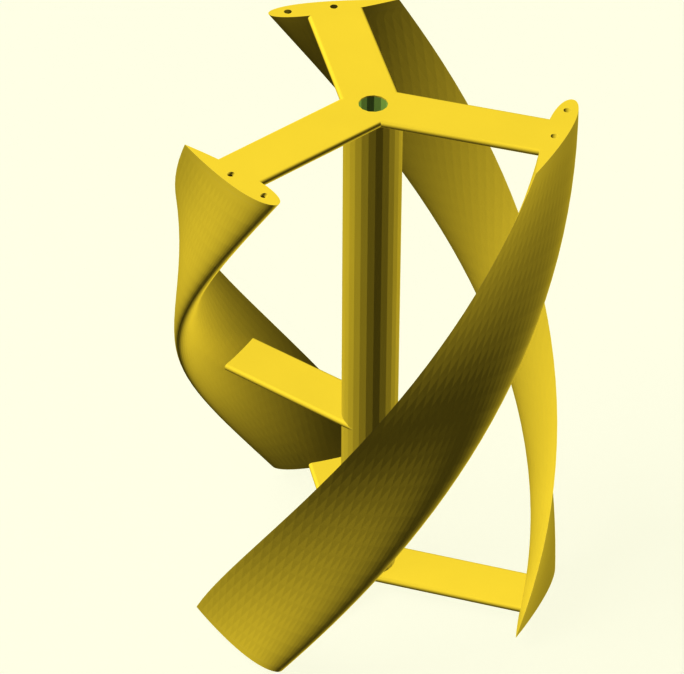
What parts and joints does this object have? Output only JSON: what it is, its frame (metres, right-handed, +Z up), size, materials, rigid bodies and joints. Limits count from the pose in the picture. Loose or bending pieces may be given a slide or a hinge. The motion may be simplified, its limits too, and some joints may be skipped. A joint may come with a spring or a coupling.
{
  "type": "small wind turbine",
  "caption": "Small vertical-axis wind turbine: helical blades on flat-armed spiders and a central tube that spin on a fixed bearing spindle.",
  "frame": {"origin": "centre of the underside of the spindle's foot, on the rotor's axis", "axes": "+Z up along the rotor's axis; +Y along the top and bottom spiders' arm to the second blade"},
  "size_m": [0.1092, 0.1092, 0.164],
  "materials": {
    "rotor_plastic": "satin moulded plastic",
    "sleeve_plastic": "satin moulded plastic",
    "bright_steel": "ground",
    "pin_steel": "blackened",
    "foot_brass": "turned",
    "cage_nylon": "natural"
  },
  "bodies": {
    "spindle": {"spindle_foot": "foot_brass", "spindle_rod": "bright_steel", "bottom_shim": "bright_steel", "bearing_spacer": "bright_steel", "top_shim": "bright_steel", "spindle_nut": "bright_steel", "bottom_bearing_inner_ring": "bright_steel", "top_bearing_inner_ring": "bright_steel"},
    "rotor": {"blade_a": "rotor_plastic", "blade_b": "rotor_plastic", "blade_c": "rotor_plastic", "bottom_spider": "rotor_plastic", "top_spider": "rotor_plastic", "rotor_tube": "rotor_plastic", "mid_strut": "rotor_plastic", "bottom_sleeve": "sleeve_plastic", "top_sleeve": "sleeve_plastic", "bottom_pin_a1": "pin_steel", "bottom_pin_a2": "pin_steel", "bottom_pin_b1": "pin_steel", "bottom_pin_b2": "pin_steel", "bottom_pin_c1": "pin_steel", "bottom_pin_c2": "pin_steel", "top_pin_a1": "pin_steel", "top_pin_a2": "pin_steel", "top_pin_b1": "pin_steel", "top_pin_b2": "pin_steel", "top_pin_c1": "pin_steel", "top_pin_c2": "pin_steel", "bottom_bearing_outer_ring": "bright_steel", "top_bearing_outer_ring": "bright_steel", "bottom_bearing_lower_shield": "bright_steel", "bottom_bearing_upper_shield": "bright_steel", "top_bearing_lower_shield": "bright_steel", "top_bearing_upper_shield": "bright_steel"},
    "bottom_balls": {"bottom_bearing_cage": "cage_nylon", "bottom_bearing_ball_1": "bright_steel", "bottom_bearing_ball_2": "bright_steel", "bottom_bearing_ball_3": "bright_steel", "bottom_bearing_ball_4": "bright_steel", "bottom_bearing_ball_5": "bright_steel", "bottom_bearing_ball_6": "bright_steel", "bottom_bearing_ball_7": "bright_steel"},
    "top_balls": {"top_bearing_cage": "cage_nylon", "top_bearing_ball_1": "bright_steel", "top_bearing_ball_2": "bright_steel", "top_bearing_ball_3": "bright_steel", "top_bearing_ball_4": "bright_steel", "top_bearing_ball_5": "bright_steel", "top_bearing_ball_6": "bright_steel", "top_bearing_ball_7": "bright_steel"}
  },
  "joints": [
    {"name": "rotor_spin", "type": "hinge", "parent": "spindle", "child": "rotor", "pos_m": [0, 0, 0.084], "axis": [0, 0, 1], "continuous": true},
    {"name": "bottom_cage_turn", "type": "hinge", "parent": "spindle", "child": "bottom_balls", "pos_m": [0, 0, 0.015], "axis": [0, 0, 1], "continuous": true},
    {"name": "top_cage_turn", "type": "hinge", "parent": "spindle", "child": "top_balls", "pos_m": [0, 0, 0.153], "axis": [0, 0, 1], "continuous": true}
  ],
  "couplings": [
    {"joint": "bottom_cage_turn", "follows": "rotor_spin", "ratio": 0.6215},
    {"joint": "top_cage_turn", "follows": "rotor_spin", "ratio": 0.6215}
  ]
}
